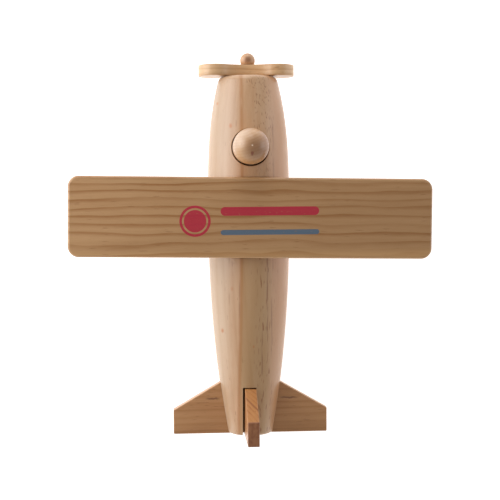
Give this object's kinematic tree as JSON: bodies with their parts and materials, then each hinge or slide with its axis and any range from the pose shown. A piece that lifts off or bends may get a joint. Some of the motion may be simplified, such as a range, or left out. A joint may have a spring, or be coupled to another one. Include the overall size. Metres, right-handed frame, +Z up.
{
  "type": "toy propeller plane",
  "caption": "Wooden toy propeller plane: turned round body, straight top wing, slotted-in tail, spinning paddle propeller, lift-out peg pilot and free wheels.",
  "frame": {"origin": "on the floor under the middle of the plane's bounding box", "axes": "-Y towards the nose, +Y towards the tail, +X to the pilot's left (port), +Z up"},
  "size_m": [0.2, 0.2186, 0.0738],
  "materials": {
    "hull_wood": "sanded, unvarnished",
    "wing_wood": "sanded, unvarnished",
    "tail_wood": "sanded, unvarnished",
    "propeller_wood": "sanded, unvarnished",
    "peg_wood": "sanded, unvarnished",
    "pilot_wood": "sanded, unvarnished",
    "wheel_wood": "sanded, unvarnished",
    "dowel_wood": "sanded, unvarnished"
  },
  "bodies": {
    "airframe": {"fuselage": "hull_wood", "wing": "wing_wood", "wing_dowel_front": "dowel_wood", "wing_dowel_rear": "dowel_wood", "tailplane": "tail_wood", "fin": "tail_wood", "propeller_peg": "peg_wood", "left_wheel_peg": "peg_wood", "right_wheel_peg": "peg_wood", "tail_wheel_pin": "dowel_wood"},
    "propeller": {"propeller": "propeller_wood"},
    "left_wheel": {"left_wheel": "wheel_wood"},
    "right_wheel": {"right_wheel": "wheel_wood"},
    "tail_wheel": {"tail_wheel": "wheel_wood"},
    "pilot": {"pilot": "pilot_wood"}
  },
  "joints": [
    {"name": "propeller_spin", "type": "hinge", "parent": "airframe", "child": "propeller", "pos_m": [0, -0.09915, 0.03457], "axis": [0, -0.9977, 0.0676], "continuous": true},
    {"name": "left_wheel_spin", "type": "hinge", "parent": "airframe", "child": "left_wheel", "pos_m": [0.0291, -0.01734, 0.019], "axis": [1, 0, 0], "continuous": true},
    {"name": "right_wheel_spin", "type": "hinge", "parent": "airframe", "child": "right_wheel", "pos_m": [-0.0291, -0.01734, 0.019], "axis": [1, 0, 0], "continuous": true},
    {"name": "tail_wheel_spin", "type": "hinge", "parent": "airframe", "child": "tail_wheel", "pos_m": [0, 0.06367, 0.009], "axis": [1, 0, 0], "continuous": true},
    {"name": "pilot_lift", "type": "slide", "parent": "airframe", "child": "pilot", "axis": [0, 0.0676, 0.9977], "range_m": [0, 0.035]}
  ]
}
